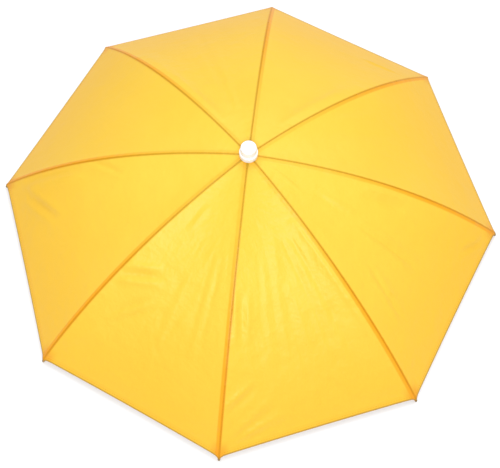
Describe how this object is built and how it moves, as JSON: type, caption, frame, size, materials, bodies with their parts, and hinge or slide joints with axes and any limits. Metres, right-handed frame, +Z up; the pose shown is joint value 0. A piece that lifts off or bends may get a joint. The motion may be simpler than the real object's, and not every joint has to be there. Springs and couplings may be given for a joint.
{
  "type": "umbrella hat",
  "caption": "Open umbrella hat: a domed cloth canopy on bent steel ribs with a white cap on top and an elastic headband on wire legs underneath.",
  "frame": {"origin": "middle of the surface that the open hat stands on, under its axis, with the eight rib tips at z = 0", "axes": "+Z up along the hat's axis through the cap, +X out along one rib"},
  "size_m": [0.6, 0.6, 0.1637],
  "materials": {
    "canopy_cloth": "satin woven nylon",
    "cap_plastic": "glossy moulded",
    "frame_plastic": "satin moulded",
    "frame_steel": "plated wire",
    "tip_metal": "dull plated",
    "band_elastic": "woven elastic"
  },
  "bodies": {
    "root": {"gore_1": "canopy_cloth", "gore_2": "canopy_cloth", "gore_3": "canopy_cloth", "gore_4": "canopy_cloth", "gore_5": "canopy_cloth", "gore_6": "canopy_cloth", "gore_7": "canopy_cloth", "gore_8": "canopy_cloth", "cap": "cap_plastic", "top_hub": "frame_plastic", "shaft": "frame_steel", "runner": "frame_plastic", "rib_1": "frame_steel", "rib_2": "frame_steel", "rib_3": "frame_steel", "rib_4": "frame_steel", "rib_5": "frame_steel", "rib_6": "frame_steel", "rib_7": "frame_steel", "rib_8": "frame_steel", "tip_1": "tip_metal", "tip_2": "tip_metal", "tip_3": "tip_metal", "tip_4": "tip_metal", "tip_5": "tip_metal", "tip_6": "tip_metal", "tip_7": "tip_metal", "tip_8": "tip_metal", "stretcher_1": "frame_steel", "stretcher_2": "frame_steel", "stretcher_3": "frame_steel", "stretcher_4": "frame_steel", "stretcher_5": "frame_steel", "stretcher_6": "frame_steel", "stretcher_7": "frame_steel", "stretcher_8": "frame_steel", "clip_1": "frame_plastic", "clip_2": "frame_plastic", "clip_3": "frame_plastic", "clip_4": "frame_plastic", "clip_5": "frame_plastic", "clip_6": "frame_plastic", "clip_7": "frame_plastic", "clip_8": "frame_plastic", "band_leg_1": "frame_steel", "band_leg_2": "frame_steel", "band_leg_3": "frame_steel", "band_leg_4": "frame_steel", "band_leg_5": "frame_steel", "band_leg_6": "frame_steel", "band_leg_7": "frame_steel", "band_leg_8": "frame_steel", "headband": "band_elastic"}
  },
  "joints": []
}
